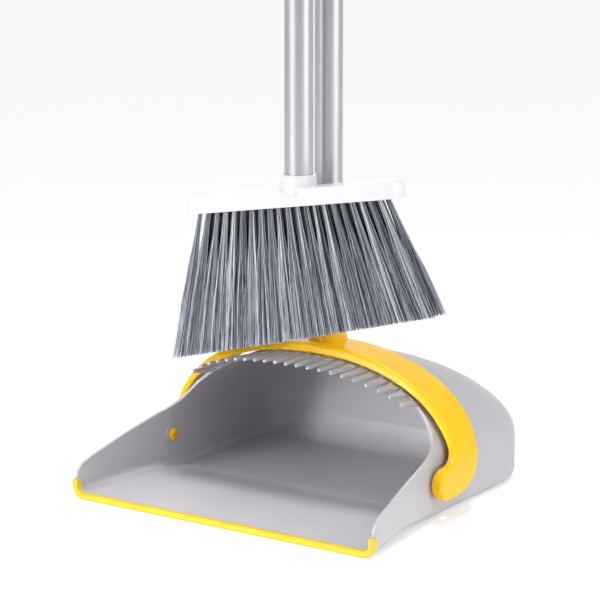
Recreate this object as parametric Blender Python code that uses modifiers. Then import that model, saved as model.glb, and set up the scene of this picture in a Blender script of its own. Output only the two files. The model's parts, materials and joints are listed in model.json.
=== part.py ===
"""Upright dust pan with a hooded body and a long pole, and a brush clipped to that pole.

Metres, +Z up. The pan's mouth faces -Y and X runs across its width. Pieces are drawn with the lip at Y = 0,
and the whole set then moves so that the origin is on the floor under the middle of the pan.
"""
import math

import bmesh
import bpy
from mathutils import Matrix, Vector

MM = 0.001
GAP = 0.3 * MM                     # play between neighbouring pieces

# ---- pan ----
PAN_HALF_LIP = 150.6 * MM          # half width of the pan at its lip
PAN_TAPER = 0.110                  # how fast each side comes in towards the back
PAN_DEPTH = 280.0 * MM             # lip to the back of the hood
PAN_WALL = 2.6 * MM
PAN_HOOD_TOP = 118.5 * MM
PAN_WAIST = 35.0 * MM              # height where the wall stops being upright
PAN_PARALLEL_Y = 110.0 * MM        # the sides turn parallel over the next stretch
PAN_PARALLEL_RUN = 26.0 * MM
# where the hood starts to round off towards the back, and how squarely: its width, its top and its floor
BACK_WIDE = (200.0 * MM, 6.5)
BACK_TOP = (158.0 * MM, 2.3)
BACK_FLOOR = (254.0 * MM, 2.2)
PAN_FOOT_RADIUS = 9.0 * MM
RAMP_RIDGE_Y = 72.0 * MM           # the ramp behind the lip rises up to here
RAMP_HEIGHT = 5.0 * MM
LIP_RISE = 0.9 * MM                # underside of the shell at its front edge

PAN_MIDDLE = 0.5 * (PAN_DEPTH - 1.0 * MM)   # the origin ends up this far behind the lip

# side view of the mouth's rim, (distance behind the lip, height)
RIM = [
    (3.2, 0.0), (3.2, 17.2), (4.6, 23.0), (8.0, 27.0), (13.5, 30.0), (29.0, 34.8),
    (60.0, 43.6), (93.0, 51.8), (110.0, 56.2), (119.5, 59.8), (125.5, 64.0),
    (130.0, 70.0), (134.5, 79.5), (139.0, 91.5), (142.5, 104.0), (144.5, 118.0), (144.5, 146.0),
]

TEETH = 21
TOOTH_SPAN = 104.0 * MM            # the outer teeth stand this far from the middle
TOOTH_TIP_MIDDLE = 99.0 * MM       # distance of the middle tip behind the lip
TOOTH_TIP_SIDE = 112.0 * MM
TOOTH_ROOT = 6.6 * MM
TOOTH_TIP = 3.6 * MM
TOOTH_THICK = 2.4 * MM
TOOTH_TILT = 9.0                   # degrees that the outermost teeth rise towards their tips

# ---- lip strip ----
STRIP_DEPTH = 6.6 * MM
STRIP_TOP = 16.4 * MM
STRIP_OUT = 1.0 * MM               # how far it stands outside the wall
STRIP_LAP = 3.0 * MM               # how much of the shell's edge it holds

# ---- pivot ----
PIVOT_Y = 118.0 * MM
PIVOT_Z = 32.0 * MM
PIN_RADIUS = 4.0 * MM
PIN_HEAD = 5.6 * MM
PIN_SLOT = 1.1 * MM
BOSS_RADIUS = 8.2 * MM
BOSS_HEIGHT = 1.8 * MM             # inside the wall
BOSS_OUT = 2.6 * MM                # outside it, up to the leg

# ---- yoke ----
YOKE_POWER = 2.2
YOKE_THICK = 8.2 * MM
YOKE_PLAY = 1.1 * MM               # between the arch and the hood under it
YOKE_END_PLAY = 0.75 * MM          # between a rounded end and the boss beside it
YOKE_FRONT = 136.5 * MM
YOKE_CREASE = 141.0 * MM
YOKE_REAR = 176.0 * MM
YOKE_END_THICK = 9.6 * MM
SOCKET_TOP = 192.0 * MM

# ---- poles ----
POLE_RADIUS = 12.0 * MM
POLE_WALL = 1.0 * MM
SOCKET_RADIUS = POLE_RADIUS + 4.0 * MM
SOCKET_TOP_RADIUS = POLE_RADIUS + 2.6 * MM
PAN_POLE_Y = 165.0 * MM
PAN_JOINTS = (436.0 * MM, 686.0 * MM)
PAN_POLE_TOP = 902.0 * MM
BROOM_POLE_Y = 120.0 * MM
BROOM_JOINTS = (560.0 * MM, 860.0 * MM)
BROOM_POLE_TOP = 1176.0 * MM
COUPLER_RING = 10.0 * MM
COUPLER_RADIUS = POLE_RADIUS + 0.9 * MM
COUPLER_SPIGOT = 26.0 * MM
GRIP_RADIUS = POLE_RADIUS + 2.6 * MM
GRIP_LENGTH = 118.0 * MM
CAP_HEIGHT = 34.0 * MM
CAP_HOLE = 5.0 * MM

# ---- clips ----
CLIP_HEIGHTS = (470.0 * MM, 720.0 * MM)
CLIP_TALL = 34.0 * MM
CLIP_WALL = 3.0 * MM
CLIP_REACH = 7.0 * MM              # jaws run this far past the brush pole's middle

# ---- brush ----
HEAD_TILT = 9.0                    # degrees, right end up
HEAD_HALF = 108.0 * MM
HEAD_SHIFT = -5.0 * MM
HEAD_DEEP = 28.0 * MM
HEAD_TALL = 14.5 * MM
HEAD_FOOT = 249.5 * MM  # underside of the bar, on the pole's axis
COLLAR_RADIUS = POLE_RADIUS + 2.8 * MM
COLLAR_TOP = HEAD_FOOT + 26.5 * MM
BROOM_POLE_FOOT = HEAD_FOOT + 13.0 * MM
ROWS = 4
ROW_PITCH = 5.6 * MM
ROW_THICK = 4.4 * MM
TUFTS = 21
FAN_ROOT = 93.8 * MM
FAN_SPREAD = 18.5                  # degrees to each side
FAN_LEFT = 124.0 * MM
FAN_RIGHT = 98.5 * MM
FAN_SOLID = 34.0 * MM              # the tufts run together from here down
ROOT_DEPTH = 6.0 * MM
ROW_FLARE = 1.1                    # degrees that each row leans out from the last

GREY = (0.52, 0.51, 0.53, 1)
YELLOW = (0.95, 0.62, 0.02, 1)
WHITE = (0.86, 0.86, 0.87, 1)
SILVER = (0.62, 0.62, 0.64, 1)
SLATE = (0.20, 0.22, 0.27, 1)
DARK = (0.10, 0.10, 0.11, 1)

for old in list(bpy.data.objects):
    bpy.data.objects.remove(old, do_unlink=True)
for old in list(bpy.data.collections):
    bpy.data.collections.remove(old)

PARTS = bpy.data.collections.new("dust_pan_and_brush_set")
CUTTERS = bpy.data.collections.new("cutters")
bpy.context.scene.collection.children.link(PARTS)
bpy.context.scene.collection.children.link(CUTTERS)
MATERIALS = {}


def material(name, colour, roughness=0.5, metallic=0.0):
    """One Principled material, named for the piece that wears it."""
    mat = bpy.data.materials.new(name)
    mat.use_nodes = True
    shader = mat.node_tree.nodes["Principled BSDF"]
    shader.inputs["Base Color"].default_value = colour
    shader.inputs["Roughness"].default_value = roughness
    shader.inputs["Metallic"].default_value = metallic
    mat.diffuse_color = colour
    return mat


def add(mesh, name, parent=None, at=(0, 0, 0), colour=None, roughness=0.5, metallic=0.0, smooth=True):
    """Link a mesh as a part. Its vertices are in the shared frame and are moved to the origin given."""
    obj = bpy.data.objects.new(name, mesh)
    PARTS.objects.link(obj)
    place(obj, at, parent)
    mesh.materials.clear()
    mesh.materials.append(material("mat_" + name, colour, roughness, metallic))
    for face in mesh.polygons:
        face.use_smooth = smooth
    return obj


def place(obj, at, parent):
    """Put the origin at a point of the shared frame without moving the shape."""
    at = Vector(at)
    obj.data.transform(Matrix.Translation(-at))
    if parent is not None:
        obj.parent = parent
        at = at - parent.location
    obj.location = at


def pivot(name, at, parent=None):
    """An empty on a joint's axis."""
    empty = bpy.data.objects.new(name, None)
    empty.empty_display_size = 0.02
    PARTS.objects.link(empty)
    if parent is not None:
        empty.parent = parent
        at = Vector(at) - parent.location
    empty.location = at
    return empty


def cutter(mesh, name):
    """A shape that only cuts or adds."""
    obj = bpy.data.objects.new(name, mesh)
    CUTTERS.objects.link(obj)
    obj.hide_render = True
    obj.display_type = "WIRE"
    return obj


def evaluated(obj):
    """The mesh of an object once its modifiers have run."""
    graph = bpy.context.evaluated_depsgraph_get()
    graph.update()
    return bpy.data.meshes.new_from_object(obj.evaluated_get(graph))


def baked(obj):
    """Run an object's modifiers, drop the object and return the mesh."""
    mesh = evaluated(obj)
    bpy.data.objects.remove(obj, do_unlink=True)
    return mesh


def boolean(mesh, others, operation="DIFFERENCE"):
    """Cut the meshes in others from a mesh, or join them to it, one after another."""
    obj = cutter(mesh, "work")
    for count, other in enumerate(others):
        tool = cutter(other, "tool_%02d" % count)
        step = obj.modifiers.new("step_%02d" % count, "BOOLEAN")
        step.solver = "EXACT"
        step.operation = operation
        step.object = tool
    return baked(obj)


def rounded(mesh, width, segments=2, angle=35):
    """Bevel the sharp edges of a mesh."""
    obj = cutter(mesh, "round")
    step = obj.modifiers.new("bevel", "BEVEL")
    step.width = width
    step.segments = segments
    step.limit_method = "ANGLE"
    step.angle_limit = math.radians(angle)
    step.harden_normals = False
    return baked(obj)


def loft(rings, closed=True, caps=True):
    """Skin between rings that hold the same number of points."""
    bm = bmesh.new()
    rows = [[bm.verts.new(p) for p in ring] for ring in rings]
    size = len(rings[0])
    last = size if closed else size - 1
    for low, high in zip(rows, rows[1:]):
        for i in range(last):
            bm.faces.new((low[i], low[(i + 1) % size], high[(i + 1) % size], high[i]))
    if caps:
        bm.faces.new(rows[0][::-1])
        bm.faces.new(rows[-1])
    bmesh.ops.recalc_face_normals(bm, faces=bm.faces)
    mesh = bpy.data.meshes.new("loft")
    bm.to_mesh(mesh)
    bm.free()
    return mesh


def turned(profile, steps=40, at=(0, 0, 0)):
    """Spin a profile of (radius, height) about +Z. The profile starts and ends on the axis, or closes on itself."""
    bm = bmesh.new()
    verts = [bm.verts.new((r, 0, z)) for r, z in profile]
    pairs = list(zip(verts, verts[1:]))
    if profile[0][0] > 0:
        pairs.append((verts[-1], verts[0]))
    for a, b in pairs:
        bm.edges.new((a, b))
    bmesh.ops.spin(
        bm, geom=bm.verts[:] + bm.edges[:], cent=(0, 0, 0), axis=(0, 0, 1),
        angle=2 * math.pi, steps=steps, use_merge=True, use_duplicate=False,
    )
    bmesh.ops.remove_doubles(bm, verts=bm.verts, dist=1e-6)
    bmesh.ops.recalc_face_normals(bm, faces=bm.faces)
    mesh = bpy.data.meshes.new("turned")
    bm.to_mesh(mesh)
    bm.free()
    mesh.transform(Matrix.Translation(at))
    return mesh


def cylinder(radius, length, steps=32, turn=None, at=(0, 0, 0)):
    """A plain cylinder about its own middle."""
    bm = bmesh.new()
    bmesh.ops.create_cone(
        bm, cap_ends=True, segments=steps, radius1=radius, radius2=radius, depth=length
    )
    mesh = bpy.data.meshes.new("cylinder")
    bm.to_mesh(mesh)
    bm.free()
    if turn is not None:
        mesh.transform(Matrix.Rotation(math.radians(turn[0]), 4, turn[1]))
    mesh.transform(Matrix.Translation(at))
    return mesh


def block(size, at):
    """A box about its own middle."""
    bm = bmesh.new()
    bmesh.ops.create_cube(bm, size=1)
    bmesh.ops.scale(bm, vec=size, verts=bm.verts)
    mesh = bpy.data.meshes.new("block")
    bm.to_mesh(mesh)
    bm.free()
    mesh.transform(Matrix.Translation(at))
    return mesh


def plate(outlines, half_thick):
    """A flat outline, with holes if there are more outlines, extruded both ways along its own Z."""
    curve = bpy.data.curves.new("plate", "CURVE")
    curve.dimensions = "2D"
    curve.fill_mode = "BOTH"
    curve.extrude = half_thick
    for points in outlines:
        spline = curve.splines.new("POLY")
        spline.points.add(len(points) - 1)
        for point, (x, y) in zip(spline.points, points):
            point.co = (x, y, 0, 1)
        spline.use_cyclic_u = True
    obj = bpy.data.objects.new("plate", curve)
    CUTTERS.objects.link(obj)
    mesh = baked(obj)
    bm = bmesh.new()
    bm.from_mesh(mesh)
    bmesh.ops.remove_doubles(bm, verts=bm.verts, dist=1e-6)
    bmesh.ops.recalc_face_normals(bm, faces=bm.faces)
    bm.to_mesh(mesh)
    bm.free()
    return mesh


def smooth_line(points, per=4):
    """A curve through the points, by Catmull-Rom."""
    line = []
    ext = [points[0]] + list(points) + [points[-1]]
    for i in range(1, len(ext) - 2):
        p0, p1, p2, p3 = (Vector(ext[i + k]) for k in (-1, 0, 1, 2))
        for step in range(per):
            t = step / per
            line.append(
                0.5 * ((2 * p1) + (p2 - p0) * t + (2 * p0 - 5 * p1 + 4 * p2 - p3) * t * t
                       + (3 * p1 - p0 - 3 * p2 + p3) * t ** 3)
            )
    line.append(Vector(points[-1]))
    return line


def blend(a, b, t):
    """Smooth step from a to b."""
    t = min(max(t, 0.0), 1.0)
    return a + (b - a) * t * t * (3 - 2 * t)


def hood_power(y):
    """How square the shell's cross-section is."""
    if y < 0.140:
        return blend(4.0, 2.1, (y - 0.060) / 0.070)
    return blend(2.1, 2.7, (y - 0.178) / 0.040)


def hood_half(y):
    """Half width of the shell: it narrows behind the lip, then its sides turn parallel."""
    past = y - PAN_PARALLEL_Y
    if past > 0:
        y = PAN_PARALLEL_Y + PAN_PARALLEL_RUN * math.tanh(past / PAN_PARALLEL_RUN)
    return PAN_HALF_LIP - PAN_TAPER * y


def back_scale(y, shape):
    """How much of its full size the shell still has, going back along one of the three shapes."""
    start, power = shape
    t = min(max((y - start) / (PAN_DEPTH - start), 0.0), 1.0)
    return (1 - t ** power) ** (1 / power)


def underside(y):
    """Height of the shell's underside, with the ramp behind the lip."""
    flat = 0.008
    if y < RAMP_RIDGE_Y:
        t = max(y - flat, 0) / (RAMP_RIDGE_Y - flat)
        return LIP_RISE + (RAMP_HEIGHT - LIP_RISE) * math.sin(0.5 * math.pi * t)
    return blend(RAMP_HEIGHT, 0.0, (y - RAMP_RIDGE_Y) / 0.060)


def hood_ring(y):
    """Half of the shell's cross-section from the middle of the floor up to the middle of the top."""
    half = hood_half(y) * back_scale(y, BACK_WIDE)
    low = underside(y)
    power = hood_power(y)
    r = PAN_FOOT_RADIUS
    line = [(x * (half - r), low) for x in (0, 0.4, 0.8)]
    for i in range(4):
        a = 0.5 * math.pi * i / 3
        line.append((half - r + r * math.sin(a), low + r - r * math.cos(a)))
    sunk = back_scale(y, BACK_FLOOR)
    line = [(x, PAN_WAIST + (z - PAN_WAIST) * sunk) for x, z in line]
    tall = (PAN_HOOD_TOP - PAN_WAIST) * back_scale(y, BACK_TOP)
    for i in range(13):
        a = 0.5 * math.pi * i / 12
        x = half * math.cos(a) ** (2 / power) if i < 12 else 0.0
        line.append((x, PAN_WAIST + tall * math.sin(a) ** (2 / power)))
    return line


def hood_height(x, y):
    """Height of the outside of the hood."""
    power = hood_power(y)
    return PAN_WAIST + (PAN_HOOD_TOP - PAN_WAIST) * (1 - abs(x / hood_half(y)) ** power) ** (1 / power)


# ---- sizes that follow from the hood ----
YOKE_HALF = hood_half(YOKE_FRONT) + YOKE_THICK + YOKE_PLAY     # half width over the legs
YOKE_TOP = PAN_HOOD_TOP + YOKE_THICK + YOKE_PLAY
YOKE_BASE = PAN_WAIST
YOKE_END_IN = hood_half(PIVOT_Y) + BOSS_OUT + YOKE_END_PLAY    # inner face of the rounded ends
PAN_POLE_FOOT = YOKE_TOP + 2.2 * MM


def pan_shell():
    """The open shell, thickened inwards and trimmed along the rim."""
    ys = [-0.004, 0.008, 0.022, 0.038, 0.056, 0.068, 0.076, 0.084, 0.094, 0.104]
    ys += [0.116, 0.128, 0.140, 0.152]
    start = BACK_TOP[0]
    ys += [start + (PAN_DEPTH - start) * math.sin(0.5 * math.pi * i / 13) ** 0.85 for i in range(13)]
    rings = []
    for y in ys:
        right = [(x, y, z) for x, z in hood_ring(y)]
        left = [(-x, y, z) for x, y, z in right[1:-1]][::-1]
        rings.append(right + left)
    mesh = loft(rings, caps=False)
    bm = bmesh.new()
    bm.from_mesh(mesh)
    bm.verts.ensure_lookup_table()
    edge = [v for v in bm.verts if abs(v.co.y - ys[-1]) < 1e-7]
    bmesh.ops.holes_fill(bm, edges=[e for e in bm.edges if all(v in edge for v in e.verts)], sides=0)
    bmesh.ops.recalc_face_normals(bm, faces=bm.faces)
    centre = Vector((0, 0.15, 0.05))
    far = max(bm.faces, key=lambda f: f.calc_center_median().z)
    if far.normal.dot(far.calc_center_median() - centre) < 0:
        bmesh.ops.reverse_faces(bm, faces=bm.faces)
    bm.to_mesh(mesh)
    bm.free()
    obj = cutter(mesh, "shell")
    step = obj.modifiers.new("thick", "SOLIDIFY")
    step.thickness = PAN_WALL
    step.offset = -1
    step.use_even_offset = True
    mesh = baked(obj)
    rim = [Vector((y * MM, z * MM)) for y, z in RIM]
    line = smooth_line([tuple(p) for p in rim[2:-1]], 3)
    outline = [(-0.05, -0.02)] + [tuple(p) for p in rim[:2]] + [tuple(p) for p in line]
    outline += [tuple(rim[-1]), (-0.05, rim[-1][1])]
    front = plate([outline], 0.2)
    front.transform(Matrix(((0, 0, 1, 0), (1, 0, 0, 0), (0, 1, 0, 0), (0, 0, 0, 1))))
    return boolean(mesh, [front])


def teeth():
    """The comb along the top of the mouth."""
    samples = 400
    xs = [TOOTH_SPAN * (2 * i / samples - 1) for i in range(samples + 1)]
    rim_top = RIM[-1][0] * MM
    y_root = rim_top - 1.5 * MM
    zs = [hood_height(x, y_root) for x in xs]
    arc = [0.0]
    for i in range(samples):
        arc.append(arc[-1] + math.hypot(xs[i + 1] - xs[i], zs[i + 1] - zs[i]))
    found = []
    for tooth in range(TEETH):
        want = arc[-1] * tooth / (TEETH - 1)
        i = min(range(samples + 1), key=lambda k: abs(arc[k] - want))
        x = xs[i]
        h = 0.0005
        slope = math.atan2(
            hood_height(x + h, y_root) - hood_height(x - h, y_root), 2 * h
        )
        side = abs(x) / TOOTH_SPAN
        tip = TOOTH_TIP_MIDDLE + (TOOTH_TIP_SIDE - TOOTH_TIP_MIDDLE) * side ** 2
        root = rim_top - 0.004 * side ** 2
        length = root + 0.004 - tip
        outline = [(-0.5 * TOOTH_ROOT, 0.0), (-0.5 * TOOTH_ROOT, -0.006)]
        r = 0.5 * TOOTH_TIP
        for k in range(7):
            a = math.pi * k / 6
            outline.append((-r * math.cos(a), -(length - r) - r * math.sin(a)))
        outline += [(0.5 * TOOTH_ROOT, -0.006), (0.5 * TOOTH_ROOT, 0.0)]
        mesh = plate([outline], 0.5 * TOOTH_THICK)
        mesh.transform(Matrix.Rotation(-math.radians(TOOTH_TILT) * side ** 2, 4, "X"))
        mesh.transform(Matrix.Rotation(-slope, 4, "Y"))
        normal = Vector((-math.sin(slope), 0, math.cos(slope)))
        at = Vector((x, root + 0.004, hood_height(x, y_root))) - normal * (0.5 * PAN_WALL)
        mesh.transform(Matrix.Translation(at))
        found.append(mesh)
    return found


def joined(meshes):
    """Several closed meshes that don't touch, as one mesh."""
    bm = bmesh.new()
    for mesh in meshes:
        bm.from_mesh(mesh)
    out = bpy.data.meshes.new("joined")
    bm.to_mesh(out)
    bm.free()
    return out


def wall_x(y):
    """Outer face of the pan's upright wall."""
    return hood_half(y)


def pan_body():
    """Shell, comb and the bosses that the pivot pins pass through."""
    mesh = pan_shell()
    comb = teeth()
    mesh = boolean(mesh, [joined(comb[::2]), joined(comb[1::2])], "UNION")
    inner = wall_x(PIVOT_Y) - PAN_WALL
    bosses = []
    holes = []
    long = BOSS_HEIGHT + PAN_WALL + BOSS_OUT
    for side in (-1, 1):
        at = (side * (inner - BOSS_HEIGHT + 0.5 * long), PIVOT_Y, PIVOT_Z)
        bosses.append(cylinder(BOSS_RADIUS, long, 32, (90, "Y"), at))
        holes.append(
            cylinder(PIN_RADIUS + GAP, 20 * MM, 32, (90, "Y"), (side * inner, PIVOT_Y, PIVOT_Z))
        )
    mesh = boolean(mesh, [joined(bosses)], "UNION")
    return boolean(mesh, [joined(holes)])


def lip_strip():
    """The strip that grips the shell's front edge and turns up both front corners."""
    middle = 0.0032 + 0.5 * STRIP_LAP
    half = hood_half(middle)
    low = underside(middle)
    r = PAN_FOOT_RADIUS
    path = [(half, STRIP_TOP)]
    for i in range(4):
        a = 0.5 * math.pi * i / 3
        path.append((half - r + r * math.cos(a), low + r - r * math.sin(a)))
    path = path + [(-x, z) for x, z in path[::-1]]
    lap = 0.0032 + STRIP_LAP
    rings = []
    total = len(path)
    for i, (x, z) in enumerate(path):
        before = Vector(path[max(i - 1, 0)])
        after = Vector(path[min(i + 1, total - 1)])
        along = (after - before).normalized()
        out = Vector((-along.y, along.x))
        if out.dot(Vector((x, z - 0.05))) < 0:
            out = -out
        base = Vector((x, z))
        edge = GAP + 0.15 * MM
        skin = PAN_WALL + edge
        lower = min(STRIP_OUT, LIP_RISE - 0.02 * MM)
        section = [
            (lap, lower), (lap, edge), (0.0032 - GAP, edge), (0.0032 - GAP, -skin), (lap, -skin),
            (lap, -skin - 0.7 * MM), (0.0032 - 2.2 * MM, -skin - 0.7 * MM),
            (-STRIP_DEPTH + lap, -1.9 * MM), (-STRIP_DEPTH + lap, -0.4 * MM), (-STRIP_DEPTH + lap + 0.8 * MM, lower),
        ]
        ring = []
        for y, d in section:
            p = base + out * d
            ring.append((p.x, y, p.y))
        rings.append(ring)
    return loft(rings)


def yoke_outer(t):
    """Point of the yoke's outer curve, and its outward normal, at an angle from the top."""
    c = math.cos(0.5 * math.pi - t)
    s = math.sin(0.5 * math.pi - t)
    tall = YOKE_TOP - YOKE_BASE
    x = YOKE_HALF * abs(c) ** (2 / YOKE_POWER)
    z = YOKE_BASE + tall * abs(s) ** (2 / YOKE_POWER)
    nx = (x / YOKE_HALF) ** (YOKE_POWER - 1) / YOKE_HALF
    nz = ((z - YOKE_BASE) / tall) ** (YOKE_POWER - 1) / tall
    return Vector((x, z)), Vector((nx, nz)).normalized()


def yoke_half():
    """Rings of the right half, from just beside the middle down to the rounded end."""
    stations = []
    for i in range(0, 13, 2):
        t = 0.5 * math.pi * i / 15.6
        p, n = yoke_outer(max(t, 1e-4))
        q = p - n * blend(YOKE_THICK, 0.82 * YOKE_THICK, (i - 6) / 6)
        crown = p - n * 0.6 * MM
        stations.append([
            (q.x, YOKE_FRONT, q.y), (p.x - n.x * 1.6 * MM, YOKE_FRONT + 1.0 * MM, p.y - n.y * 1.6 * MM),
            (p.x, YOKE_CREASE, p.y), (crown.x, YOKE_REAR, crown.y), (q.x, YOKE_REAR, q.y),
        ])
    # the leg turns forward to the pivot: front and rear edge, seen from the side and measured from the
    # pivot, then how far the inner and the outer face stand from those of the rounded end
    leg = [
        ((18.3, 25.5), (58.2, 19.0), -4.4, -7.2),
        ((15.2, 19.2), (54.4, 8.0), -1.8, -4.4),
        ((9.0, 14.6), (46.0, -2.6), -0.3, -2.2),
        ((3.2, 13.3), (32.0, -10.0), 0.0, -0.8),
        ((-0.6, 13.2), (16.0, -13.0), 0.0, 0.0),
        ((-3.4, 12.8), (4.0, -13.2), 0.0, 0.0),
        ((-6.6, 11.4), (-4.6, -12.4), 0.0, 0.0),
        ((-9.3, 9.3), (-9.3, -9.3), 0.0, -0.2),
        ((-12.0, 5.6), (-12.0, -5.6), 0.0, -0.8),
        ((-13.1, 1.9), (-13.1, -1.9), 0.0, -1.6),
    ]
    at = Vector((PIVOT_Y, PIVOT_Z))
    for (fy, fz), (ry, rz), inward, outward in leg:
        front = at + Vector((fy, fz)) * MM
        rear = at + Vector((ry, rz)) * MM
        crease = front.lerp(rear, 0.08)
        edge = front.lerp(rear, 0.02)
        inside = YOKE_END_IN + inward * MM
        outside = YOKE_END_IN + YOKE_END_THICK + outward * MM
        stations.append([
            (inside, front.x, front.y), (outside - 2.0 * MM, edge.x, edge.y),
            (outside, crease.x, crease.y), (outside - 0.6 * MM, rear.x, rear.y), (inside, rear.x, rear.y),
        ])
    lines = [smooth_line([ring[k] for ring in stations], 3) for k in range(5)]
    return [[tuple(line[i]) for line in lines] for i in range(len(lines[0]))]


def eased(ring, reach):
    """The ring with each corner cut back and rounded."""
    points = [Vector(p) for p in ring]
    out = []
    for i, corner in enumerate(points):
        back = points[i - 1] - corner
        ahead = points[(i + 1) % len(points)] - corner
        start = corner + back * min(reach / back.length, 0.4)
        end = corner + ahead * min(reach / ahead.length, 0.4)
        out += [start.lerp(corner, 0.15), end.lerp(corner, 0.15)]
    return out


def yoke():
    """The arch over the hood, its two rounded ends, and the socket for the pole."""
    right = yoke_half()
    left = [[(-x, y, z) for x, y, z in ring] for ring in right[1:]][::-1]
    mesh = loft([eased(ring, 1.5 * MM) for ring in left + right])
    z0 = YOKE_TOP - YOKE_THICK + 0.8 * MM
    body = turned(
        [(0, z0), (SOCKET_RADIUS + 1.2 * MM, z0), (SOCKET_RADIUS + 1.2 * MM, YOKE_TOP - 1.0 * MM),
         (SOCKET_RADIUS, YOKE_TOP + 3.5 * MM), (SOCKET_TOP_RADIUS, SOCKET_TOP - 1.2 * MM),
         (SOCKET_TOP_RADIUS - 0.8 * MM, SOCKET_TOP), (0, SOCKET_TOP)],
        48, (0, PAN_POLE_Y, 0),
    )
    mesh = boolean(mesh, [body], "UNION")
    tall = SOCKET_TOP - PAN_POLE_FOOT + 20 * MM
    bore = cylinder(
        POLE_RADIUS + GAP, tall, 48, None, (0, PAN_POLE_Y, PAN_POLE_FOOT - GAP + 0.5 * tall)
    )
    holes = [
        cylinder(
            PIN_RADIUS + GAP, 14 * MM, 32, (90, "Y"),
            (side * YOKE_END_IN, PIVOT_Y, PIVOT_Z),
        )
        for side in (-1, 1)
    ]
    return boolean(mesh, [joined([bore] + holes)])


def pivot_pin(side):
    """A pin pushed through from inside the pan: a slit, domed head and a shank."""
    inner = wall_x(PIVOT_Y) - PAN_WALL - BOSS_HEIGHT
    end = YOKE_END_IN + 7 * MM - GAP
    head = inner - GAP
    profile = [
        (0, end), (PIN_RADIUS - 0.5 * MM, end), (PIN_RADIUS, end - 0.5 * MM), (PIN_RADIUS, head),
        (PIN_HEAD, head), (PIN_HEAD, head - 0.9 * MM), (PIN_HEAD - 0.7 * MM, head - 1.9 * MM),
        (PIN_HEAD - 2.2 * MM, head - 2.7 * MM), (0, head - 3.1 * MM),
    ]
    mesh = turned(profile, 28)
    slot = block((PIN_SLOT, 2 * PIN_HEAD * 0.62, 2.4 * MM), (0, 0, head - 2.6 * MM))
    mesh = boolean(mesh, [slot])
    mesh.transform(Matrix.Rotation(math.radians(90 * side), 4, "Y"))
    mesh.transform(Matrix.Translation((0, PIVOT_Y, PIVOT_Z)))
    return mesh


def tube(low, high, y, steps=32):
    """One length of hollow pole."""
    r = POLE_RADIUS
    q = r - POLE_WALL
    return turned([(q, low), (r, low), (r, high), (q, high)], steps, (0, y, 0))


def coupler(z, y):
    """A sleeve that joins two lengths of pole, with a ring between their ends."""
    q = POLE_RADIUS - POLE_WALL - GAP
    b = q - 1.6 * MM
    half = 0.5 * COUPLER_RING
    far = half + COUPLER_SPIGOT
    profile = [
        (b, z - far), (q - 0.6 * MM, z - far), (q, z - far + 0.8 * MM), (q, z - half),
        (COUPLER_RADIUS - 0.6 * MM, z - half), (COUPLER_RADIUS, z - half + 0.6 * MM),
        (COUPLER_RADIUS, z + half - 0.6 * MM), (COUPLER_RADIUS - 0.6 * MM, z + half),
        (q, z + half), (q, z + far - 0.8 * MM), (q - 0.6 * MM, z + far), (b, z + far),
    ]
    return turned(profile, 28, (0, y, 0))


def grip(top, y):
    """A sleeve over the upper end of the pole."""
    r = POLE_RADIUS + GAP
    low = top - GRIP_LENGTH
    line = [(r, low), (GRIP_RADIUS - 1.6 * MM, low), (GRIP_RADIUS, low + 2.0 * MM)]
    ribs = 3
    for i in range(ribs):
        z = low + 14 * MM + i * (GRIP_LENGTH - 28 * MM) / (ribs - 1)
        line += [
            (GRIP_RADIUS, z - 2.2 * MM), (GRIP_RADIUS - 0.9 * MM, z - 1.2 * MM),
            (GRIP_RADIUS - 0.9 * MM, z + 1.2 * MM), (GRIP_RADIUS, z + 2.2 * MM),
        ]
    line += [(GRIP_RADIUS, top - 2.0 * MM), (GRIP_RADIUS - 1.6 * MM, top), (r, top)]
    return turned(line, 28, (0, y, 0))


def cap(top, y):
    """End cap with a hole to hang it by, and a plug that sits in the pole."""
    q = POLE_RADIUS - POLE_WALL - GAP
    z = top + GAP
    line = [
        (0, z - 22 * MM), (q - 0.8 * MM, z - 22 * MM), (q, z - 21 * MM), (q, z),
        (GRIP_RADIUS - 1.0 * MM, z), (GRIP_RADIUS, z + 1.0 * MM), (GRIP_RADIUS, z + 0.42 * CAP_HEIGHT),
        (GRIP_RADIUS - 1.2 * MM, z + 0.68 * CAP_HEIGHT), (GRIP_RADIUS - 4.6 * MM, z + 0.88 * CAP_HEIGHT),
        (GRIP_RADIUS - 9.5 * MM, z + 0.985 * CAP_HEIGHT), (0, z + CAP_HEIGHT),
    ]
    mesh = turned(line, 28, (0, y, 0))
    middle = z + 0.52 * CAP_HEIGHT
    flats = [
        block((60 * MM, 20 * MM, CAP_HEIGHT), (0, y + side * 17.5 * MM, z + 8 * MM + 0.5 * CAP_HEIGHT))
        for side in (-1, 1)
    ]
    hole = cylinder(CAP_HOLE, 60 * MM, 24, (90, "X"), (0, y, middle + 1.5 * MM))
    return boolean(mesh, flats + [hole])


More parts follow.
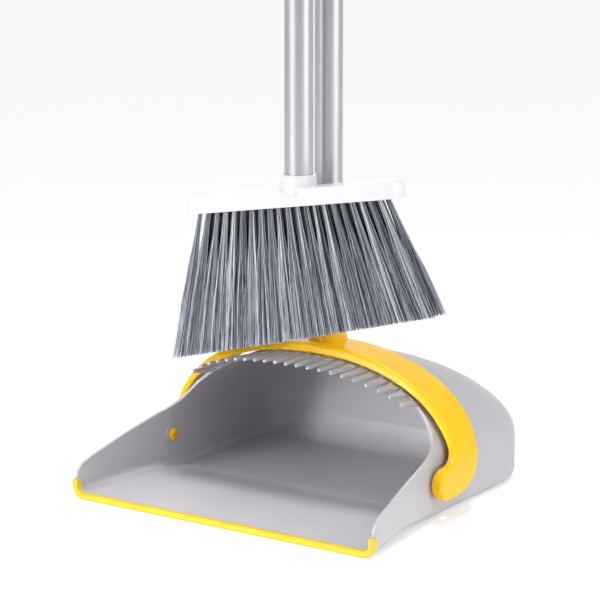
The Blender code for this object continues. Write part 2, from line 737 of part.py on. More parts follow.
def clip(z):
    """A ring on the pan's pole with two jaws that hold the brush's pole."""
    r = POLE_RADIUS + GAP
    out = r + CLIP_WALL
    y0 = PAN_POLE_Y
    y1 = BROOM_POLE_Y
    outline = []
    for i in range(25):
        a = math.pi * i / 24
        outline.append((out * math.cos(a), y0 + out * math.sin(a)))
    waist = 8.0 * MM
    mouth = r + 2.4 * MM
    outline += [
        (-out, y0 - 3 * MM), (-out + 2.0 * MM, y0 - r + 3.3 * MM), (-waist, y0 - r - 2.7 * MM),
        (-waist, y1 + r + 5.2 * MM), (-mouth + 3 * MM, y1 + r + 0.2 * MM), (-mouth, y1 + r - 4.3 * MM),
        (-mouth, y1 - CLIP_REACH),
        (-mouth - 1.4 * MM, y1 - CLIP_REACH - 3.5 * MM), (-r - 1.6 * MM, y1 - CLIP_REACH - 3.8 * MM),
        (-r, y1 - CLIP_REACH + 0.5 * MM), (-r, y1),
    ]
    for i in range(1, 12):
        a = math.pi * i / 12
        outline.append((-r * math.cos(a), y1 + r * math.sin(a)))
    outline += [(-x, y) for x, y in outline[25:36][::-1]]
    hole = [
        (r * math.cos(2 * math.pi * i / 40), y0 + r * math.sin(2 * math.pi * i / 40)) for i in range(40)
    ]
    mesh = plate([outline, hole], 0.5 * CLIP_TALL)
    mesh.transform(Matrix.Translation((0, 0, z)))
    return mesh


def head_matrix():
    """From the brush head's own frame (bar's underside at the pole's axis) to the shared frame."""
    return Matrix.Translation((0, BROOM_POLE_Y, HEAD_FOOT)) @ Matrix.Rotation(
        math.radians(-HEAD_TILT), 4, "Y"
    )


def brush_head():
    """The bar, the collar on top of it, and the grooves that hold the bristles."""
    outline = []
    x0 = HEAD_SHIFT
    r = 0.46 * HEAD_DEEP
    half = HEAD_HALF
    for cx, cy, start in (
        (x0 + half - r, 0.5 * HEAD_DEEP - r, 0), (x0 - half + r, 0.5 * HEAD_DEEP - r, 90),
        (x0 - half + r, -0.5 * HEAD_DEEP + r, 180), (x0 + half - r, -0.5 * HEAD_DEEP + r, 270),
    ):
        for i in range(7):
            a = math.radians(start + 15 * i)
            outline.append((cx + r * math.cos(a), cy + r * math.sin(a)))
    bar = plate([outline], 0.5 * HEAD_TALL)
    bar.transform(Matrix.Translation((0, 0, 0.5 * HEAD_TALL)))
    bar = rounded(bar, 2.6 * MM, 3, 50)
    grooves = []
    for row in range(ROWS):
        y = ROW_PITCH * (row - 0.5 * (ROWS - 1))
        size = (2 * (FAN_ROOT + 1.5 * MM), ROW_THICK + 2 * GAP, 2 * (ROOT_DEPTH + GAP))
        grooves.append(block(size, (x0, y, 0)))
    bar = boolean(bar, [joined(grooves)])
    bar.transform(head_matrix())
    c = COLLAR_RADIUS
    z = HEAD_FOOT + 0.73 * HEAD_TALL
    collar = turned(
        [(0, z), (c + 2.6 * MM, z), (c + 2.6 * MM, HEAD_FOOT + HEAD_TALL - 2.5 * MM),
         (c + 0.7 * MM, HEAD_FOOT + HEAD_TALL + 2.5 * MM), (c, COLLAR_TOP - 4 * MM),
         (c, COLLAR_TOP - 0.8 * MM), (c - 0.8 * MM, COLLAR_TOP), (0, COLLAR_TOP)],
        48, (0, BROOM_POLE_Y, 0),
    )
    mesh = boolean(bar, [collar], "UNION")
    tall = 60 * MM
    bore = cylinder(
        POLE_RADIUS + GAP, tall, 48, None,
        (0, BROOM_POLE_Y, BROOM_POLE_FOOT + 0.5 * tall),
    )
    return boolean(mesh, [bore])


def bristle_row(row):
    """One row of bristles: rooted in its groove, tufted at the top and run together below."""
    x0 = HEAD_SHIFT
    spread = math.tan(math.radians(FAN_SPREAD))
    inset = 0.0 if row % 2 == 0 else 2.0 * MM
    half = FAN_ROOT - inset

    def length(u):
        return FAN_LEFT + (FAN_RIGHT - FAN_LEFT) * (u + 1) / 2

    def point(u, d):
        return (x0 + u * (half + max(d, 0) * spread), -d)

    outline = [point(-1, -ROOT_DEPTH), point(-1, 2 * MM)]
    outline += [point(-1, 0.5 * length(-1))]
    cuts = 14
    outline += [point(2 * i / cuts - 1, length(2 * i / cuts - 1)) for i in range(cuts + 1)]
    outline += [point(1, 0.5 * length(1)), point(1, 2 * MM), point(1, -ROOT_DEPTH)]
    gaps = []
    count = TUFTS - 1 - (row % 2)
    for i in range(count):
        u = (2 * (i + 0.5) / count - 1) * (TUFTS - 1) / TUFTS
        w = 0.36 * 2 / TUFTS / 2
        gaps.append([point(u - w, 1.5 * MM), point(u + w, 1.5 * MM), point(u + 0.25 * w, FAN_SOLID),
                     point(u - 0.25 * w, FAN_SOLID)])
    mesh = plate([outline] + gaps, 0.5 * ROW_THICK)
    mesh.transform(Matrix.Rotation(math.radians(90), 4, "X"))
    lean = math.tan(math.radians(ROW_FLARE * (row - 0.5 * (ROWS - 1))))
    for v in mesh.vertices:
        v.co.y += ROW_PITCH * (row - 0.5 * (ROWS - 1)) + max(-v.co.z, 0) * lean
    mesh.transform(head_matrix())
    return mesh


def build():
    pan = pivot("pan_frame", (0, 0, 0))
    handle = pivot("handle_axis", (0, PIVOT_Y, PIVOT_Z), pan)
    brush = pivot("brush_axis", (0, BROOM_POLE_Y - PIVOT_Y, 0.6 - PIVOT_Z))
    brush.parent = handle

    def on_pan(mesh, name, colour, rough=0.45, metal=0.0, smooth=True):
        return add(mesh, name, pan, (0, 0, 0), colour, rough, metal, smooth)

    def on_handle(mesh, name, colour, rough=0.45, metal=0.0, smooth=True):
        obj = add(mesh, name, None, (0, PIVOT_Y, PIVOT_Z), colour, rough, metal, smooth)
        obj.parent = handle
        obj.location = (0, 0, 0)
        return obj

    def on_brush(mesh, name, colour, rough=0.45, metal=0.0, smooth=True):
        obj = add(mesh, name, None, (0, BROOM_POLE_Y, 0.6), colour, rough, metal, smooth)
        obj.parent = brush
        obj.location = (0, 0, 0)
        return obj

    on_pan(pan_body(), "pan_body", GREY, 0.42, smooth=False)
    on_pan(lip_strip(), "lip_strip", YELLOW, 0.5, smooth=False)

    on_handle(yoke(), "yoke", YELLOW, 0.35, smooth=False)
    on_handle(pivot_pin(-1), "pivot_pin_left", YELLOW, 0.35, smooth=False)
    on_handle(pivot_pin(1), "pivot_pin_right", YELLOW, 0.35, smooth=False)
    ends = [PAN_POLE_FOOT] + list(PAN_JOINTS) + [PAN_POLE_TOP]
    for i, name in enumerate(("lower", "middle", "upper")):
        low = ends[i] + (0.5 * COUPLER_RING + GAP if i else 0)
        high = ends[i + 1] - (0.5 * COUPLER_RING + GAP if i < 2 else 0)
        on_handle(tube(low, high, PAN_POLE_Y), "pan_tube_" + name, SILVER, 0.32, 0.9)
    on_handle(coupler(PAN_JOINTS[0], PAN_POLE_Y), "pan_coupler_lower", DARK)
    on_handle(coupler(PAN_JOINTS[1], PAN_POLE_Y), "pan_coupler_upper", DARK)
    on_handle(grip(PAN_POLE_TOP, PAN_POLE_Y), "pan_grip", GREY, 0.7)
    on_handle(cap(PAN_POLE_TOP, PAN_POLE_Y), "pan_cap", YELLOW, 0.4, smooth=False)
    on_handle(clip(CLIP_HEIGHTS[0]), "clip_lower", YELLOW, 0.4, smooth=False)
    on_handle(clip(CLIP_HEIGHTS[1]), "clip_upper", YELLOW, 0.4, smooth=False)

    on_brush(brush_head(), "brush_head", WHITE, 0.3, smooth=False)
    for row in range(ROWS):
        on_brush(bristle_row(row), "bristle_row_%d" % (row + 1), SLATE, 0.8, smooth=False)
    ends = [BROOM_POLE_FOOT + GAP] + list(BROOM_JOINTS) + [BROOM_POLE_TOP]
    for i, name in enumerate(("lower", "middle", "upper")):
        low = ends[i] + (0.5 * COUPLER_RING + GAP if i else 0)
        high = ends[i + 1] - (0.5 * COUPLER_RING + GAP if i < 2 else 0)
        on_brush(tube(low, high, BROOM_POLE_Y), "brush_tube_" + name, SILVER, 0.32, 0.9)
    on_brush(coupler(BROOM_JOINTS[0], BROOM_POLE_Y), "brush_coupler_lower", DARK)
    on_brush(coupler(BROOM_JOINTS[1], BROOM_POLE_Y), "brush_coupler_upper", DARK)
    on_brush(grip(BROOM_POLE_TOP, BROOM_POLE_Y), "brush_grip", GREY, 0.7)
    on_brush(cap(BROOM_POLE_TOP, BROOM_POLE_Y), "brush_cap", YELLOW, 0.4, smooth=False)
    pan.location = (0, -PAN_MIDDLE, 0)


build()
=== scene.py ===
import json
import math
import random

import bmesh
import bpy
from mathutils import Matrix, Vector


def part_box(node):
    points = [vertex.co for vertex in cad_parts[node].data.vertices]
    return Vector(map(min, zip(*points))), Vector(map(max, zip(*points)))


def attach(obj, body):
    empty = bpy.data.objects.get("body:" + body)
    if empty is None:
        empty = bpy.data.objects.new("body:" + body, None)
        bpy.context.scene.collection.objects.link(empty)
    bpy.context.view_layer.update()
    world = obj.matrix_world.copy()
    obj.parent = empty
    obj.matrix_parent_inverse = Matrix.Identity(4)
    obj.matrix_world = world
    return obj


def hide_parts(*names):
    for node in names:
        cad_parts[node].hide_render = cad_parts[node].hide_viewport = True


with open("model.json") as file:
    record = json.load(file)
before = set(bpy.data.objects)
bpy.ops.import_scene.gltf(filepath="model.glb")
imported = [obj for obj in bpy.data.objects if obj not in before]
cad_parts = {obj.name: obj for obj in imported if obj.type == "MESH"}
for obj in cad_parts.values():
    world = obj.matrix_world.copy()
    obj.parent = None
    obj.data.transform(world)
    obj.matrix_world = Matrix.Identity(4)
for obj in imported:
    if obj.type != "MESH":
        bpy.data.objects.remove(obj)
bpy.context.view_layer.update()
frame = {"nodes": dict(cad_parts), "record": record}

MM = 0.001

# the brush's bar and fan, in the bar's own frame: X along the bar, Z up, origin on its underside at the pole
BAR_TILT = 9.0                     # degrees, right end up
BAR_FOOT = 249.5 * MM
BAR_SHIFT = -5.0 * MM
ROWS = 4
ROW_PITCH = 5.6 * MM
ROW_THICK = 4.4 * MM
ROW_LEAN = 1.1                     # degrees that each row leans out from the last
TUFTS = 21
FAN_ROOT = 93.8 * MM               # half length of the outer rows of tufts
FAN_SPREAD = 18.5                  # degrees to each side
FAN_LEFT = 124.0 * MM
FAN_RIGHT = 98.5 * MM
ROOT_DEPTH = 6.0 * MM
ROOT_RADIUS = 1.95 * MM
STRANDS = 92
STRAND_RADIUS = 0.27 * MM

TUFT_OPENS = 70.0 * MM             # a tuft has reached its full width this far below the bar
SHADE_SHEET_DEEP = 52.0 * MM             # how far the dark sheet of painted shade between the middle rows reaches down
# thickness of the dark sheet of painted shade
SHADE_SHEET_THICK = 1.0 * MM

CAMERA_BEARING = 34.14             # degrees to the right of straight in front
CAMERA_RISE = 15.26                # degrees above level
CAMERA_DISTANCE = 2.0
LENS_PIXELS = 2344.0               # focal length, for a frame of 600
AIM_RIGHT = 1.27                   # how far the middle of the frame lies from the target, in the same measure
AIM_UP = 136.0
TARGET_BEHIND_LIP = 120.0 * MM
TARGET_HEIGHT = 50.0 * MM


# ---------------------------------------------------------------- finishes

class Value:
    """A node's socket, which takes part in sums as a number does."""

    def __init__(self, finish, socket):
        self.finish = finish
        self.socket = socket

    def sum(self, operation, first, second):
        return self.finish.node("ShaderNodeMath", {"operation": operation}, {0: first, 1: second})

    def __add__(self, other):
        return self.sum("ADD", self, other)

    def __radd__(self, other):
        return self.sum("ADD", other, self)

    def __sub__(self, other):
        return self.sum("SUBTRACT", self, other)

    def __rsub__(self, other):
        return self.sum("SUBTRACT", other, self)

    def __mul__(self, other):
        return self.sum("MULTIPLY", self, other)

    def __rmul__(self, other):
        return self.sum("MULTIPLY", other, self)


class Finish:
    """A material of one kind of surface."""

    def __init__(self, name, **fixed):
        self.material = bpy.data.materials.new(name)
        self.material.use_nodes = True
        self.tree = self.material.node_tree
        self.shader = self.tree.nodes["Principled BSDF"]
        self.place = self.node("ShaderNodeTexCoord", out="Object")
        for key, value in fixed.items():
            self.shader.inputs[key.replace("_", " ")].default_value = value

    def node(self, kind, settings=None, sockets=None, out=0):
        """Any node: its settings first, then the values or links of its sockets."""
        node = self.tree.nodes.new(kind)
        for key, value in (settings or {}).items():
            if key == "stops":
                ramp = node.color_ramp
                while len(ramp.elements) < len(value):
                    ramp.elements.new(0.5)
                for element, (position, colour) in zip(ramp.elements, value):
                    element.position = position
                    element.color = colour
            else:
                setattr(node, key, value)
        for key, value in (sockets or {}).items():
            if isinstance(value, Value):
                self.tree.links.new(value.socket, node.inputs[key])
            else:
                node.inputs[key].default_value = value
        return Value(self, node.outputs[out])

    def grain(self, scale, stretch=(1, 1, 1), detail=2.0, rough=0.5):
        """Noise from 0 to 1 over the piece, at a scale in cells a metre."""
        at = self.place
        if stretch != (1, 1, 1):
            at = self.node("ShaderNodeMapping", {}, {"Vector": at, "Scale": stretch})
        return self.node(
            "ShaderNodeTexNoise", {"noise_dimensions": "3D"},
            {"Vector": at, "Scale": scale, "Detail": detail, "Roughness": rough},
        )

    def spread(self, value, low, high):
        """A narrow stretch of a value opened out to 0 to 1."""
        return self.node(
            "ShaderNodeMapRange", {"clamp": True}, {"Value": value, "From Min": low, "From Max": high},
        )

    def mixed(self, factor, first, second):
        """A colour between two."""
        node = self.tree.nodes.new("ShaderNodeMix")
        node.data_type = "RGBA"
        for key, value in ((0, factor), (6, first), (7, second)):
            if isinstance(value, Value):
                self.tree.links.new(value.socket, node.inputs[key])
            else:
                node.inputs[key].default_value = value
        return Value(self, node.outputs[2])

    def feed(self, name, value):
        self.tree.links.new(value.socket, self.shader.inputs[name])

    def bump(self, height, strength, distance):
        raised = self.node(
            "ShaderNodeBump", {}, {"Height": height, "Strength": strength, "Distance": distance}
        )
        self.feed("Normal", raised)


def moulded(name, light, dark, gloss, grain=0.10, scuff=0.10, **fixed):
    """Injection-moulded plastic: faint mottling, spark-eroded grain and a few fine rubs."""
    finish = Finish(name, **fixed)
    mottle = finish.spread(finish.grain(16, detail=3.0), 0.3, 0.7)
    fine = finish.grain(1500, detail=1.5)
    rubs = finish.spread(finish.grain(30, (22, 1, 1), 3.0, 0.6), 0.62, 0.74)
    flow = finish.grain(55, (1, 0.25, 1), 2.0)
    finish.feed("Base Color", finish.mixed(mottle * 0.8 + fine * 0.2, dark, light))
    finish.feed("Roughness", gloss + (flow - 0.5) * 0.10 + rubs * scuff + (fine - 0.5) * 0.08)
    finish.bump(fine + rubs * 0.25, grain, 0.12 * MM)
    return finish.material


def rubber(name, light, dark):
    """Soft strip: matt, with a slight bloom and pits."""
    finish = Finish(name)
    bloom = finish.spread(finish.grain(70, detail=4.0), 0.35, 0.75)
    pits = finish.grain(2100, detail=1.0)
    finish.feed("Base Color", finish.mixed(bloom, dark, light))
    finish.feed("Roughness", 0.46 + bloom * 0.14)
    finish.bump(pits, 0.16, 0.10 * MM)
    return finish.material


def drawn_metal(name, light, dark):
    """Silver pole: drawn lengthways, under a thin clear lacquer."""
    finish = Finish(name, Coat_Weight=0.12, Coat_Roughness=0.25)
    streaks = finish.grain(10, (190, 190, 2.2), 3.0, 0.55)
    fine = finish.grain(900, detail=1.0)
    marks = finish.spread(finish.grain(14, (1, 1, 9), 3.0, 0.6), 0.66, 0.78)
    finish.feed("Base Color", finish.mixed(finish.spread(streaks, 0.3, 0.7), dark, light))
    finish.feed("Metallic", 0.90 - marks * 0.12)
    finish.feed("Roughness", 0.34 + (streaks - 0.5) * 0.16 + marks * 0.07)
    finish.bump(streaks * 0.6 + fine * 0.4, 0.05, 0.05 * MM)
    return finish.material


def strand(name, root, tip):
    """One colour of bristle, darker towards the roots as painted shade where the tufts crowd, with streaks
    that run down it.
    """
    finish = Finish(name, Specular_IOR_Level=0.45)
    height = finish.node("ShaderNodeSeparateXYZ", {}, {0: finish.place}, "Z")
    # height ramp: the colour darkens towards the bar, painted shade at the roots
    down = finish.node(
        "ShaderNodeMapRange", {"clamp": True},
        {"Value": height, "From Min": 0.25, "From Max": 0.11},
    )
    streak = finish.spread(finish.grain(10, (85, 85, 3), 2.0), 0.30, 0.70)
    # the colour mix is part random streaks, part the painted root shade
    finish.feed("Base Color", finish.mixed(down * 0.30 + streak * 0.70, root, tip))
    finish.feed("Roughness", 0.42 + streak * 0.18)
    finish.bump(finish.grain(2600, (1, 1, 0.08), 1.0), 0.15, 0.08 * MM)
    return finish.material


pan_grey = moulded("pan_grey", (0.455, 0.445, 0.466, 1), (0.420, 0.410, 0.432, 1), 0.38, 0.16, 0.12)
yoke_yellow = moulded(
    "yoke_yellow", (0.87, 0.510, 0.005, 1), (0.83, 0.475, 0.004, 1), 0.30, 0.05, 0.08,
    Specular_IOR_Level=0.28,
)
lip_yellow = rubber("lip_yellow", (0.74, 0.52, 0.014, 1), (0.66, 0.45, 0.011, 1))
head_white = moulded("head_white", (0.74, 0.73, 0.75, 1), (0.70, 0.69, 0.715, 1), 0.22, 0.06, 0.06)
pole_silver = drawn_metal("pole_silver", (0.54, 0.54, 0.56, 1), (0.43, 0.43, 0.46, 1))
fitting_grey = moulded("fitting_grey", (0.060, 0.062, 0.068, 1), (0.045, 0.046, 0.050, 1), 0.42, 0.20, 0.10)
grip_grey = moulded("grip_grey", (0.40, 0.39, 0.41, 1), (0.34, 0.33, 0.35, 1), 0.55, 0.35, 0.08)
# each strand's first colour is its root end, darkened as painted shade, and its second is the tip
strands = [
    strand("bristle_slate", (0.074, 0.081, 0.106, 1), (0.198, 0.212, 0.275, 1)),
    strand("bristle_blue_grey", (0.240, 0.256, 0.315, 1), (0.480, 0.500, 0.600, 1)),
    strand("bristle_pale", (0.720, 0.735, 0.800, 1), (0.930, 0.940, 0.980, 1)),
    strand("bristle_dark", (0.010, 0.011, 0.015, 1), (0.050, 0.054, 0.070, 1)),
]
SHARES = (0, 0, 0, 1, 1, 1, 2, 3, 3, 2, 1, 2)   # how often each colour of strand comes


# ---------------------------------------------------------------- pieces

def link(mesh, name):
    obj = bpy.data.objects.new(name, mesh)
    bpy.context.scene.collection.objects.link(obj)
    return obj


def finished(node, name, material, turn=34, ease=0.0):
    """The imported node's own shape with its seams merged, its round faces smoothed and its edges eased."""
    packed = frame["nodes"][node]
    bm = bmesh.new()
    bm.from_mesh(packed.data)
    bmesh.ops.remove_doubles(bm, verts=bm.verts, dist=3e-6)
    bmesh.ops.dissolve_limit(
        bm, angle_limit=math.radians(0.4), verts=bm.verts, edges=bm.edges, delimit={"NORMAL"}
    )
    for face in bm.faces:
        face.smooth = True
    for edge in bm.edges:
        edge.smooth = edge.calc_face_angle(0.0) < math.radians(turn)
    mesh = bpy.data.meshes.new(name)
    bm.to_mesh(mesh)
    bm.free()
    for extra in [a.name for a in mesh.attributes if a.name in ("custom_normal", "UVMap")]:
        mesh.attributes.remove(mesh.attributes[extra])
    mesh.materials.clear()
    mesh.materials.append(material)
    obj = link(mesh, name)
    if ease:
        step = obj.modifiers.new("ease", "BEVEL")
        step.width = ease
        step.segments = 2
        step.limit_method = "ANGLE"
        step.angle_limit = math.radians(turn)
        step.use_clamp_overlap = True
        step.harden_normals = False
    step = obj.modifiers.new("weigh", "WEIGHTED_NORMAL")
    step.keep_sharp = True
    step.weight = 60
    body = next(b for b, members in frame["record"]["behaviour"]["bodies"].items() if node in members)
    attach(obj, body)
    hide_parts(node)
    return obj


finished("pan_body", "pan_shell", pan_grey, 36)
finished("lip_strip", "lip_edge", lip_yellow, 40)
finished("yoke", "yoke_arch", yoke_yellow, 30)
for side in ("left", "right"):
    finished("pivot_pin_" + side, "pin_" + side, yoke_yellow, 34, 0.15 * MM)
finished("brush_head", "brush_bar", head_white, 34)
for owner in ("pan", "brush"):
    for part in ("lower", "middle", "upper"):
        finished("%s_tube_%s" % (owner, part), "%s_pole_%s" % (owner, part), pole_silver)
    for part in ("lower", "upper"):
        finished(
            "%s_coupler_%s" % (owner, part), "%s_sleeve_%s" % (owner, part), fitting_grey
        )
    finished(owner + "_grip", owner + "_hand_grip", grip_grey, 40)
    finished(owner + "_cap", owner + "_end_cap", yoke_yellow, 34, 0.5 * MM)
for part in ("lower", "upper"):
    finished("clip_" + part, "pole_clip_" + part, yoke_yellow, 34, 0.6 * MM)


# ---------------------------------------------------------------- brush

pole_low, pole_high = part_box("brush_tube_lower")
pole_y = 0.5 * (pole_low.y + pole_high.y)
bar_place = Matrix.Translation((0, pole_y, BAR_FOOT)) @ Matrix.Rotation(math.radians(-BAR_TILT), 4, "Y")


def tuft_bed(row):
    """The bar's own plastic between the tufts, flush in its groove."""
    bm = bmesh.new()
    bmesh.ops.create_cube(bm, size=1)
    bmesh.ops.scale(bm, vec=(2 * FAN_ROOT + 2.4 * MM, ROW_THICK, ROOT_DEPTH - 0.6 * MM), verts=bm.verts)
    bmesh.ops.bevel(
        bm, geom=bm.edges[:], offset=0.3 * MM, segments=2, profile=0.5, affect="EDGES", material=-1
    )
    at = (BAR_SHIFT, ROW_PITCH * (row - 0.5 * (ROWS - 1)), 0.5 * ROOT_DEPTH + 0.3 * MM)
    bmesh.ops.transform(bm, matrix=bar_place @ Matrix.Translation(at), verts=bm.verts)
    mesh = bpy.data.meshes.new("tuft_bed_%d" % (row + 1))
    bm.to_mesh(mesh)
    bm.free()
    mesh.materials.append(head_white)
    obj = link(mesh, mesh.name)
    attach(obj, "brush")


def ease_in(t):
    t = min(max(t, 0.0), 1.0)
    return t * t * (3 - 2 * t)


def fan_length(u):
    """Length of the bristles at a place along the bar, from -1 at its left to 1 at its right."""
    return FAN_LEFT + (FAN_RIGHT - FAN_LEFT) * (u + 1) / 2


def tuft_row(row):
    """A row of tufts. Each tuft leaves a round hole and opens out until it meets the next ones."""
    rng = random.Random(17 + row)
    curve = bpy.data.curves.new("tuft_row_%d" % (row + 1), "CURVE")
    curve.dimensions = "3D"
    curve.bevel_depth = STRAND_RADIUS
    curve.bevel_resolution = 0
    curve.resolution_u = 1
    for material in strands:
        curve.materials.append(material)
    spread = math.tan(math.radians(FAN_SPREAD))
    across = ROW_PITCH * (row - 0.5 * (ROWS - 1))
    lean = math.tan(math.radians(ROW_LEAN * (row - 0.5 * (ROWS - 1))))
    count = TUFTS - row % 2
    for tuft in range(count):
        u = (2 * tuft - (count - 1)) / (TUFTS - 1)
        twist = rng.uniform(-0.8, 0.8)
        pull = rng.gauss(0, 0.5 * MM)
        shade = rng.choice((0, 0, 0, 1, 3))
        for _ in range(STRANDS):
            angle = rng.uniform(0, 2 * math.pi)
            reach = math.sqrt(rng.random())
            side = reach * math.cos(angle)
            deep = reach * math.sin(angle)
            wave = rng.uniform(0, 2 * math.pi)
            swing = rng.gauss(0, 0.45 * MM)
            mine = min(max(u + side / (TUFTS - 1), -1.0), 1.0)
            length = fan_length(mine) - abs(rng.gauss(0, 0.9 * MM)) + 0.3 * MM
            colour = rng.choice(SHARES)
            if colour == 0 and rng.random() < 0.5:
                colour = shade
            steps = (-0.5 * ROOT_DEPTH, 1.5 * MM, 0.16 * length, 0.36 * length, 0.62 * length,
                     0.84 * length, length)
            spline = curve.splines.new("POLY")
            spline.points.add(len(steps) - 1)
            spline.material_index = colour
            for point, d in zip(spline.points, steps):
                below = max(d, 0.0)
                opened = ease_in(below / TUFT_OPENS)
                cell = (FAN_ROOT + below * spread) * 2 / (TUFTS - 1)
                half = ROOT_RADIUS + (0.60 * cell - ROOT_RADIUS) * opened
                thick = ROOT_RADIUS + (0.62 * ROW_PITCH - ROOT_RADIUS) * opened
                bend = swing * math.sin(wave + below * 52) * opened
                x = BAR_SHIFT + u * (FAN_ROOT - ROOT_RADIUS + below * spread)
                x += side * half + bend + (pull + twist * deep * 0.6 * MM) * opened
                y = across + below * lean + deep * thick + bend * 0.5
                point.co = (*(bar_place @ Vector((x, y, -d))), 1)
                point.radius = 1.0 - 0.35 * below / length
    obj = link(curve, curve.name)
    bpy.context.view_layer.objects.active = obj
    mesh = bpy.data.meshes.new_from_object(obj.evaluated_get(bpy.context.evaluated_depsgraph_get()))
    bpy.data.objects.remove(obj, do_unlink=True)
    mesh.name = "tuft_row_%d" % (row + 1)
    for face in mesh.polygons:
        face.use_smooth = True
    piece = link(mesh, mesh.name)
    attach(piece, "brush")
    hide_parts("bristle_row_%d" % (row + 1))


def painted_shade_sheet():
    """A thin dark sheet between the middle rows: painted shade that closes the view between the roots."""
    bm = bmesh.new()
    bmesh.ops.create_grid(bm, x_segments=40, y_segments=6, size=0.5)
    bmesh.ops.rotate(bm, matrix=Matrix.Rotation(math.radians(90), 3, "X"), verts=bm.verts)
    spread = math.tan(math.radians(FAN_SPREAD))
    for vert in bm.verts:
        down = 0.5 - vert.co.z
        below = down * SHADE_SHEET_DEEP
        vert.co.x = BAR_SHIFT + 2 * vert.co.x * (FAN_ROOT - 5.0 * MM + below * spread)
        vert.co.z = 0.4 * MM - below
    found = bmesh.ops.extrude_face_region(bm, geom=bm.faces[:])
    fresh = [g for g in found["geom"] if isinstance(g, bmesh.types.BMVert)]
    bmesh.ops.translate(bm, vec=(0, SHADE_SHEET_THICK, 0), verts=fresh)
    bmesh.ops.translate(bm, vec=(0, -0.5 * SHADE_SHEET_THICK, 0), verts=bm.verts)
    bmesh.ops.recalc_face_normals(bm, faces=bm.faces)
    bmesh.ops.transform(bm, matrix=bar_place, verts=bm.verts)
    mesh = bpy.data.meshes.new("painted_shade_sheet")
    bm.to_mesh(mesh)
    bm.free()
    # the sheet takes the darkest strand colour, as painted shade between the roots
    mesh.materials.append(strands[3])
    obj = link(mesh, "painted_shade_sheet")
    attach(obj, "brush")


painted_shade_sheet()
for row in range(ROWS):
    tuft_bed(row)
    tuft_row(row)


# ---------------------------------------------------------------- studio

def studio_floor():
    bm = bmesh.new()
    bmesh.ops.create_grid(bm, x_segments=1, y_segments=1, size=6)
    mesh = bpy.data.meshes.new("studio_floor")
    bm.to_mesh(mesh)
    bm.free()
    finish = Finish("studio_floor", Roughness=0.8, Emission_Color=(1, 1, 1, 1), Emission_Strength=0.24)
    finish.feed("Base Color", finish.mixed(finish.grain(3), (0.93, 0.93, 0.93, 1), (0.95, 0.95, 0.95, 1)))
    mesh.materials.append(finish.material)
    obj = link(mesh, "studio_floor")
    obj.location.z = -0.0004


def soft_box(name, bearing, height, distance, width, tall, watts, aim=(0, 0, 0.2), spread=180):
    """An area light at a bearing in degrees from straight in front, facing a point."""
    lamp = bpy.data.lights.new(name, "AREA")
    lamp.shape = "RECTANGLE"
    lamp.size = width
    lamp.size_y = tall
    lamp.energy = watts
    lamp.spread = math.radians(spread)
    obj = bpy.data.objects.new(name, lamp)
    bpy.context.scene.collection.objects.link(obj)
    turn = math.radians(bearing)
    obj.location = (distance * math.sin(turn), -distance * math.cos(turn), height)
    way = Vector(aim) - obj.location
    obj.rotation_euler = way.to_track_quat("-Z", "Y").to_euler()


def camera():
    """The eye stands to the right, a little above, and far back, with a long lens."""
    bearing = math.radians(CAMERA_BEARING)
    rise = math.radians(CAMERA_RISE)
    lip_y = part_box("lip_strip")[0].y + 0.4 * MM
    target = Vector((0, lip_y + TARGET_BEHIND_LIP, TARGET_HEIGHT))
    right = Vector((math.cos(bearing), math.sin(bearing), 0))
    ahead = Vector((
        -math.sin(bearing) * math.cos(rise), math.cos(bearing) * math.cos(rise), -math.sin(rise)
    ))
    up = right.cross(ahead)
    eye = target - ahead * CAMERA_DISTANCE
    centre = (ahead * LENS_PIXELS + right * AIM_RIGHT + up * AIM_UP).normalized()
    lens = bpy.data.cameras.new("camera")
    lens.sensor_width = 36
    lens.lens = lens.sensor_width * LENS_PIXELS / 600
    lens.clip_start = 0.05
    obj = bpy.data.objects.new("camera", lens)
    bpy.context.scene.collection.objects.link(obj)
    level = Vector((0, 0, 1))
    across = centre.cross(level).normalized()
    turned = Matrix((across, across.cross(centre), -centre)).transposed().to_4x4()
    obj.matrix_world = Matrix.Translation(eye) @ turned
    bpy.context.scene.camera = obj


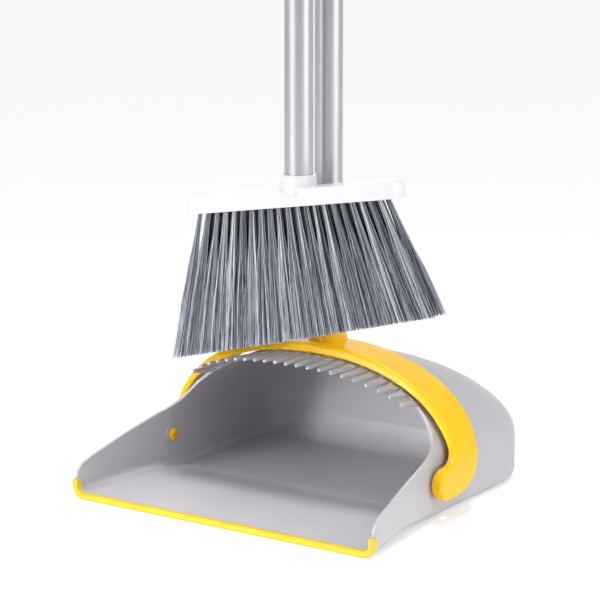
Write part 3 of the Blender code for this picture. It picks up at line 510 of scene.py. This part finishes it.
def surroundings():
    """A white studio: bright to both sides of the camera, dimmer behind it, and plain where it is seen."""
    world = bpy.data.worlds.new("studio")
    world.use_nodes = True
    tree = world.node_tree
    way = tree.nodes.new("ShaderNodeTexCoord").outputs["Generated"]
    facing = tree.nodes.new("ShaderNodeVectorMath")
    facing.operation = "DOT_PRODUCT"
    tree.links.new(way, facing.inputs[0])
    turn = math.radians(CAMERA_BEARING)
    facing.inputs[1].default_value = (math.sin(turn), -math.cos(turn), 0)
    half = tree.nodes.new("ShaderNodeMapRange")
    half.inputs["From Min"].default_value = -1
    tree.links.new(facing.outputs["Value"], half.inputs["Value"])
    ramp = tree.nodes.new("ShaderNodeValToRGB")
    ramp.color_ramp.interpolation = "EASE"
    stops = (
        (0.00, 1.00), (0.10, 0.90), (0.27, 0.32), (0.52, 0.50), (0.76, 0.95), (0.84, 0.95),
        (0.95, 0.38), (1.00, 0.34),
    )
    while len(ramp.color_ramp.elements) < len(stops):
        ramp.color_ramp.elements.new(0.5)
    for element, (position, bright) in zip(ramp.color_ramp.elements, stops):
        element.position = position
        element.color = (bright, bright, bright * 1.01, 1)
    tree.links.new(half.outputs["Result"], ramp.inputs["Fac"])
    back = tree.nodes["Background"]
    shown = tree.nodes.new("ShaderNodeMix")
    shown.data_type = "RGBA"
    shown.inputs[7].default_value = (0.82, 0.82, 0.82, 1)
    seen = tree.nodes.new("ShaderNodeLightPath")
    tree.links.new(seen.outputs["Is Camera Ray"], shown.inputs[0])
    tree.links.new(ramp.outputs["Color"], shown.inputs[6])
    tree.links.new(shown.outputs[2], back.inputs["Color"])
    back.inputs["Strength"].default_value = 1.15
    bpy.context.scene.world = world
    bpy.context.scene.view_settings.view_transform = "Standard"


studio_floor()
camera()
surroundings()
soft_box("soft_left", CAMERA_BEARING - 52, 0.8, 1.7, 1.3, 1.9, 11)
soft_box("soft_right", CAMERA_BEARING + 62, 0.7, 1.6, 1.2, 1.8, 10.5)
soft_box("soft_low", CAMERA_BEARING - 50, 0.30, 1.5, 0.4, 0.25, 0.20, (0.04, 0.04, 0.03), 18)
soft_box("soft_top", 180, 2.2, 0.1, 0.5, 0.3, 0.40, (0, -0.14, 0), 16)
